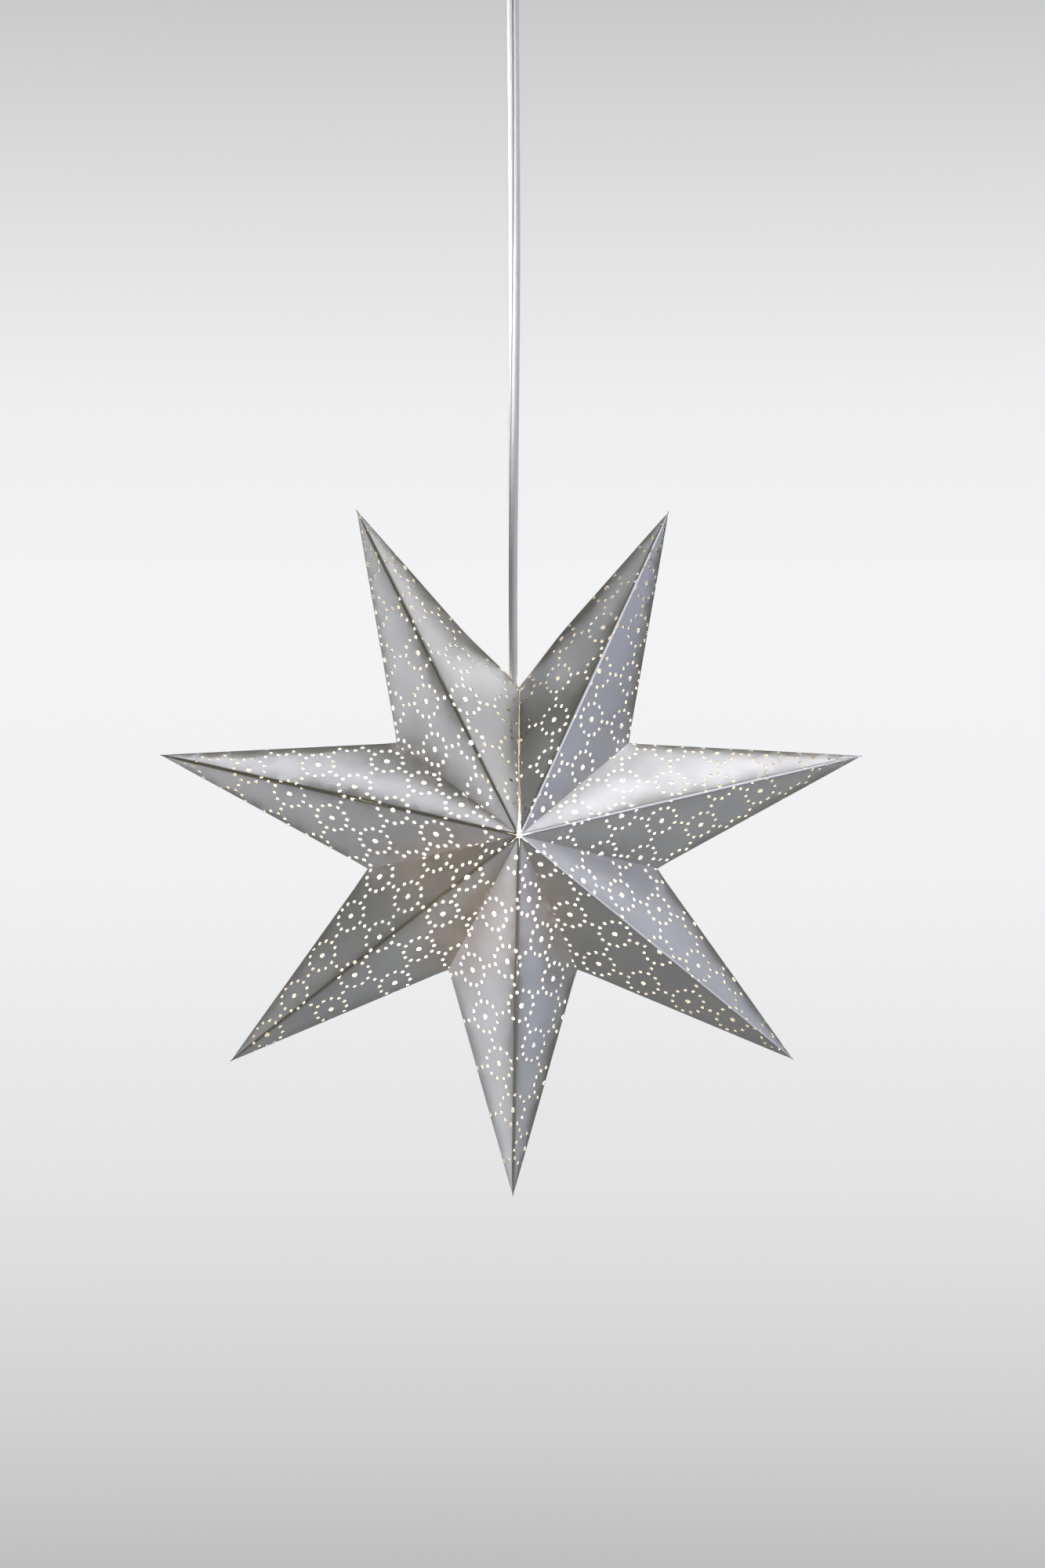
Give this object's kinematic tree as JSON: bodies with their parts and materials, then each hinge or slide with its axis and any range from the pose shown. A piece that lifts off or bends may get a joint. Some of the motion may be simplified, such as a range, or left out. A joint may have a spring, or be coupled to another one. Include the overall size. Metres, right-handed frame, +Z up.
{
  "type": "paper star lantern",
  "caption": "Folded silver-foil paper star lantern with pointed arms, punched ring pattern, warm lamp inside, flat power cord and ceiling cup",
  "frame": {"origin": "centre of the ceiling plate's upper face, where the fitting meets the ceiling", "axes": "+Z up, out of the ceiling plate; the star's front faces -Y; +X to the right as seen from the front"},
  "size_m": [0.4424, 0.1236, 0.8364],
  "materials": {
    "silver_paper": "silver metallic foil outside, matte white paper inside, punched with a ring pattern of small holes",
    "flap_paper": "matte white paper",
    "string": "twisted cotton string",
    "cord_pvc": "soft satin PVC, flat two-core cord",
    "core": "satin wire insulation",
    "white_plastic": "moulded satin white plastic",
    "nylon": "translucent white nylon",
    "carrier": "matte steatite",
    "brass": "bright stamped brass",
    "steel": "zinc-plated steel",
    "bulb_metal": "nickel-plated screw cap",
    "black_glass": "black glassy insulator",
    "bulb_glass": "clear thin glass",
    "filament": "warm white LED filament, lit"
  },
  "bodies": {
    "ceiling_fitting": {"ceiling_plate": "steel", "ceiling_cup": "white_plastic", "terminal_block": "nylon", "outlet_nut": "white_plastic"},
    "outlet": {"cord_outlet": "white_plastic"},
    "pendant": {"power_cord": "cord_pvc", "cord_grip": "white_plastic", "lampholder_cap": "white_plastic", "lampholder_body": "white_plastic", "contact_carrier": "carrier", "screw_shell": "brass", "centre_contact": "brass", "live_terminal": "brass", "neutral_terminal": "brass", "live_core": "core", "neutral_core": "core", "tie_string": "string"},
    "bulb": {"bulb_cap": "bulb_metal", "bulb_insulator": "black_glass", "bulb_contact": "bulb_metal", "bulb_glass": "bulb_glass", "glass_stem": "bulb_glass", "filament_1": "filament", "filament_2": "filament", "filament_3": "filament", "filament_4": "filament"},
    "seam_flap_front_fixed": {"seam_flap_front_fixed": "flap_paper"},
    "upper_left_arm_front_first": {"upper_left_arm_front_first": "silver_paper"},
    "upper_left_arm_front_second": {"upper_left_arm_front_second": "silver_paper"},
    "upper_left_arm_back_first": {"upper_left_arm_back_first": "silver_paper"},
    "upper_left_arm_back_second": {"upper_left_arm_back_second": "silver_paper"},
    "left_arm_front_first": {"left_arm_front_first": "silver_paper"},
    "left_arm_front_second": {"left_arm_front_second": "silver_paper"},
    "left_arm_back_first": {"left_arm_back_first": "silver_paper"},
    "left_arm_back_second": {"left_arm_back_second": "silver_paper"},
    "lower_left_arm_front_first": {"lower_left_arm_front_first": "silver_paper"},
    "lower_left_arm_front_second": {"lower_left_arm_front_second": "silver_paper"},
    "lower_left_arm_back_first": {"lower_left_arm_back_first": "silver_paper"},
    "lower_left_arm_back_second": {"lower_left_arm_back_second": "silver_paper"},
    "bottom_arm_front_first": {"bottom_arm_front_first": "silver_paper"},
    "bottom_arm_front_second": {"bottom_arm_front_second": "silver_paper"},
    "bottom_arm_back_first": {"bottom_arm_back_first": "silver_paper"},
    "bottom_arm_back_second": {"bottom_arm_back_second": "silver_paper"},
    "lower_right_arm_front_first": {"lower_right_arm_front_first": "silver_paper"},
    "lower_right_arm_front_second": {"lower_right_arm_front_second": "silver_paper"},
    "lower_right_arm_back_first": {"lower_right_arm_back_first": "silver_paper"},
    "lower_right_arm_back_second": {"lower_right_arm_back_second": "silver_paper"},
    "right_arm_front_first": {"right_arm_front_first": "silver_paper"},
    "right_arm_front_second": {"right_arm_front_second": "silver_paper"},
    "right_arm_back_first": {"right_arm_back_first": "silver_paper"},
    "right_arm_back_second": {"right_arm_back_second": "silver_paper"},
    "upper_right_arm_front_first": {"upper_right_arm_front_first": "silver_paper"},
    "upper_right_arm_front_second": {"upper_right_arm_front_second": "silver_paper"},
    "upper_right_arm_back_first": {"upper_right_arm_back_first": "silver_paper"},
    "upper_right_arm_back_second": {"upper_right_arm_back_second": "silver_paper"},
    "seam_flap_back_fixed": {"seam_flap_back_fixed": "flap_paper"},
    "seam_flap_front_free": {"seam_flap_front_free": "flap_paper"},
    "seam_flap_back_free": {"seam_flap_back_free": "flap_paper"}
  },
  "joints": [
    {"name": "star_turn", "type": "hinge", "parent": "ceiling_fitting", "child": "outlet", "pos_m": [0, 0, -0.055], "axis": [0, 0, 1], "range_deg": [-180, 180]},
    {"name": "cord_swing", "type": "hinge", "parent": "outlet", "child": "pendant", "pos_m": [0, 0, -0.0608], "axis": [0, 1, 0], "range_deg": [-8, 8]},
    {"name": "bulb_turn", "type": "hinge", "parent": "pendant", "child": "bulb", "pos_m": [-0.00948, 0, -0.58238], "axis": [-0.1478, 0, -0.989], "range_deg": [0, 1080]},
    {"name": "star_hang", "type": "hinge", "parent": "pendant", "child": "seam_flap_front_fixed", "pos_m": [0, 0, -0.515], "axis": [-0.7444, -0.6605, -0.098], "range_deg": [0, 22.59]},
    {"name": "seam_fold_front", "type": "hinge", "parent": "seam_flap_front_fixed", "child": "upper_left_arm_front_first", "pos_m": [0, -0.065, -0.6098], "axis": [0, 0.5655, 0.8248], "range_deg": [0, 46.2]},
    {"name": "star_fold", "type": "hinge", "parent": "upper_left_arm_front_first", "child": "upper_left_arm_front_second", "pos_m": [0, -0.065, -0.6098], "axis": [0.4176, -0.2711, -0.8672], "range_deg": [0, 77.3]},
    {"name": "upper_left_edge_fold_first", "type": "hinge", "parent": "upper_left_arm_front_first", "child": "upper_left_arm_back_first", "pos_m": [-0.10014, 0, -0.40186], "axis": [0.6628, 0, -0.7488], "range_deg": [0, 74.06]},
    {"name": "upper_left_edge_fold_second", "type": "hinge", "parent": "upper_left_arm_front_second", "child": "upper_left_arm_back_second", "pos_m": [-0.10014, 0, -0.40186], "axis": [-0.1722, 0, 0.9851], "range_deg": [0, 74.06]},
    {"name": "left_valley_fold", "type": "hinge", "parent": "upper_left_arm_front_second", "child": "left_arm_front_first", "pos_m": [0, -0.065, -0.6098], "axis": [-0.6448, 0.5655, 0.5142], "range_deg": [0, 92.34]},
    {"name": "left_ridge_fold", "type": "hinge", "parent": "left_arm_front_first", "child": "left_arm_front_second", "pos_m": [0, -0.065, -0.6098], "axis": [0.9384, -0.2711, -0.2142], "range_deg": [0, 77.35]},
    {"name": "left_edge_fold_first", "type": "hinge", "parent": "left_arm_front_first", "child": "left_arm_back_first", "pos_m": [-0.22501, 0, -0.55844], "axis": [0.9987, 0, 0.0513], "range_deg": [0, 74.06]},
    {"name": "left_edge_fold_second", "type": "hinge", "parent": "left_arm_front_second", "child": "left_arm_back_second", "pos_m": [-0.22501, 0, -0.55844], "axis": [-0.8775, 0, 0.4795], "range_deg": [0, 74.06]},
    {"name": "lower_left_valley_fold", "type": "hinge", "parent": "left_arm_front_second", "child": "lower_left_arm_front_first", "pos_m": [0, -0.065, -0.6098], "axis": [-0.8041, 0.5655, -0.1835], "range_deg": [0, 92.34]},
    {"name": "lower_left_ridge_fold", "type": "hinge", "parent": "lower_left_arm_front_first", "child": "lower_left_arm_front_second", "pos_m": [0, -0.065, -0.6098], "axis": [0.7526, -0.2711, 0.6001], "range_deg": [0, 77.35]},
    {"name": "lower_left_edge_fold_first", "type": "hinge", "parent": "lower_left_arm_front_first", "child": "lower_left_arm_back_first", "pos_m": [-0.18045, 0, -0.7537], "axis": [0.5826, 0, 0.8128], "range_deg": [0, 74.06]},
    {"name": "lower_left_edge_fold_second", "type": "hinge", "parent": "lower_left_arm_front_second", "child": "lower_left_arm_back_second", "pos_m": [-0.18045, 0, -0.7537], "axis": [-0.922, 0, -0.3871], "range_deg": [0, 74.06]},
    {"name": "bottom_valley_fold", "type": "hinge", "parent": "lower_left_arm_front_second", "child": "bottom_arm_front_first", "pos_m": [0, -0.065, -0.6098], "axis": [-0.3578, 0.5655, -0.7431], "range_deg": [0, 92.34]},
    {"name": "bottom_ridge_fold", "type": "hinge", "parent": "bottom_arm_front_first", "child": "bottom_arm_front_second", "pos_m": [0, -0.065, -0.6098], "axis": [0, -0.2711, 0.9626], "range_deg": [0, 77.35]},
    {"name": "bottom_edge_fold_first", "type": "hinge", "parent": "bottom_arm_front_first", "child": "bottom_arm_back_first", "pos_m": [0, 0, -0.8406], "axis": [-0.2722, 0, 0.9622], "range_deg": [0, 74.06]},
    {"name": "bottom_edge_fold_second", "type": "hinge", "parent": "bottom_arm_front_second", "child": "bottom_arm_back_second", "pos_m": [0, 0, -0.8406], "axis": [-0.2722, 0, -0.9622], "range_deg": [0, 74.06]},
    {"name": "lower_right_valley_fold", "type": "hinge", "parent": "bottom_arm_front_second", "child": "lower_right_arm_front_first", "pos_m": [0, -0.065, -0.6098], "axis": [0.3578, 0.5655, -0.7431], "range_deg": [0, 92.34]},
    {"name": "lower_right_ridge_fold", "type": "hinge", "parent": "lower_right_arm_front_first", "child": "lower_right_arm_front_second", "pos_m": [0, -0.065, -0.6098], "axis": [-0.7526, -0.2711, 0.6001], "range_deg": [0, 77.35]},
    {"name": "lower_right_edge_fold_first", "type": "hinge", "parent": "lower_right_arm_front_first", "child": "lower_right_arm_back_first", "pos_m": [0.18045, 0, -0.7537], "axis": [-0.922, 0, 0.3871], "range_deg": [0, 74.06]},
    {"name": "lower_right_edge_fold_second", "type": "hinge", "parent": "lower_right_arm_front_second", "child": "lower_right_arm_back_second", "pos_m": [0.18045, 0, -0.7537], "axis": [0.5826, 0, -0.8128], "range_deg": [0, 74.06]},
    {"name": "right_valley_fold", "type": "hinge", "parent": "lower_right_arm_front_second", "child": "right_arm_front_first", "pos_m": [0, -0.065, -0.6098], "axis": [0.8041, 0.5655, -0.1835], "range_deg": [0, 92.34]},
    {"name": "right_ridge_fold", "type": "hinge", "parent": "right_arm_front_first", "child": "right_arm_front_second", "pos_m": [0, -0.065, -0.6098], "axis": [-0.9384, -0.2711, -0.2142], "range_deg": [0, 77.35]},
    {"name": "right_edge_fold_first", "type": "hinge", "parent": "right_arm_front_first", "child": "right_arm_back_first", "pos_m": [0.22501, 0, -0.55844], "axis": [-0.8775, 0, -0.4795], "range_deg": [0, 74.06]},
    {"name": "right_edge_fold_second", "type": "hinge", "parent": "right_arm_front_second", "child": "right_arm_back_second", "pos_m": [0.22501, 0, -0.55844], "axis": [0.9987, 0, -0.0513], "range_deg": [0, 74.06]},
    {"name": "upper_right_valley_fold", "type": "hinge", "parent": "right_arm_front_second", "child": "upper_right_arm_front_first", "pos_m": [0, -0.065, -0.6098], "axis": [0.6448, 0.5655, 0.5142], "range_deg": [0, 92.34]},
    {"name": "upper_right_ridge_fold", "type": "hinge", "parent": "upper_right_arm_front_first", "child": "upper_right_arm_front_second", "pos_m": [0, -0.065, -0.6098], "axis": [-0.4176, -0.2711, -0.8672], "range_deg": [0, 77.35]},
    {"name": "upper_right_edge_fold_first", "type": "hinge", "parent": "upper_right_arm_front_first", "child": "upper_right_arm_back_first", "pos_m": [0.10014, 0, -0.40186], "axis": [-0.1722, 0, -0.9851], "range_deg": [0, 74.06]},
    {"name": "upper_right_edge_fold_second", "type": "hinge", "parent": "upper_right_arm_front_second", "child": "upper_right_arm_back_second", "pos_m": [0.10014, 0, -0.40186], "axis": [0.6628, 0, 0.7488], "range_deg": [0, 74.06]},
    {"name": "seam_fold_back", "type": "hinge", "parent": "upper_left_arm_back_first", "child": "seam_flap_back_fixed", "pos_m": [0, 0.065, -0.6098], "axis": [0, -0.5655, 0.8248], "range_deg": [0, 46.2]},
    {"name": "seam_fold_front_free", "type": "hinge", "parent": "upper_right_arm_front_second", "child": "seam_flap_front_free", "pos_m": [0, -0.065, -0.6098], "axis": [0, 0.5655, 0.8248], "range_deg": [0, 46.2]},
    {"name": "seam_fold_back_free", "type": "hinge", "parent": "upper_right_arm_back_second", "child": "seam_flap_back_free", "pos_m": [0, 0.065, -0.6098], "axis": [0, 0.5655, -0.8248], "range_deg": [0, 46.2]}
  ],
  "couplings": [
    {"joint": "star_hang", "follows": "star_fold", "ratio": 0.29166},
    {"joint": "seam_fold_front", "follows": "star_fold", "ratio": 0.597},
    {"joint": "upper_left_edge_fold_first", "follows": "star_fold", "ratio": 0.9575},
    {"joint": "upper_left_edge_fold_second", "follows": "star_fold", "ratio": 0.9575},
    {"joint": "left_valley_fold", "follows": "star_fold", "ratio": 1.194},
    {"joint": "left_ridge_fold", "follows": "star_fold", "ratio": 1},
    {"joint": "left_edge_fold_first", "follows": "star_fold", "ratio": 0.9575},
    {"joint": "left_edge_fold_second", "follows": "star_fold", "ratio": 0.9575},
    {"joint": "lower_left_valley_fold", "follows": "star_fold", "ratio": 1.194},
    {"joint": "lower_left_ridge_fold", "follows": "star_fold", "ratio": 1},
    {"joint": "lower_left_edge_fold_first", "follows": "star_fold", "ratio": 0.9575},
    {"joint": "lower_left_edge_fold_second", "follows": "star_fold", "ratio": 0.9575},
    {"joint": "bottom_valley_fold", "follows": "star_fold", "ratio": 1.194},
    {"joint": "bottom_ridge_fold", "follows": "star_fold", "ratio": 1},
    {"joint": "bottom_edge_fold_first", "follows": "star_fold", "ratio": 0.9575},
    {"joint": "bottom_edge_fold_second", "follows": "star_fold", "ratio": 0.9575},
    {"joint": "lower_right_valley_fold", "follows": "star_fold", "ratio": 1.194},
    {"joint": "lower_right_ridge_fold", "follows": "star_fold", "ratio": 1},
    {"joint": "lower_right_edge_fold_first", "follows": "star_fold", "ratio": 0.9575},
    {"joint": "lower_right_edge_fold_second", "follows": "star_fold", "ratio": 0.9575},
    {"joint": "right_valley_fold", "follows": "star_fold", "ratio": 1.194},
    {"joint": "right_ridge_fold", "follows": "star_fold", "ratio": 1},
    {"joint": "right_edge_fold_first", "follows": "star_fold", "ratio": 0.9575},
    {"joint": "right_edge_fold_second", "follows": "star_fold", "ratio": 0.9575},
    {"joint": "upper_right_valley_fold", "follows": "star_fold", "ratio": 1.194},
    {"joint": "upper_right_ridge_fold", "follows": "star_fold", "ratio": 1},
    {"joint": "upper_right_edge_fold_first", "follows": "star_fold", "ratio": 0.9575},
    {"joint": "upper_right_edge_fold_second", "follows": "star_fold", "ratio": 0.9575},
    {"joint": "seam_fold_back", "follows": "star_fold", "ratio": 0.597},
    {"joint": "seam_fold_front_free", "follows": "star_fold", "ratio": 0.597},
    {"joint": "seam_fold_back_free", "follows": "star_fold", "ratio": 0.597}
  ]
}
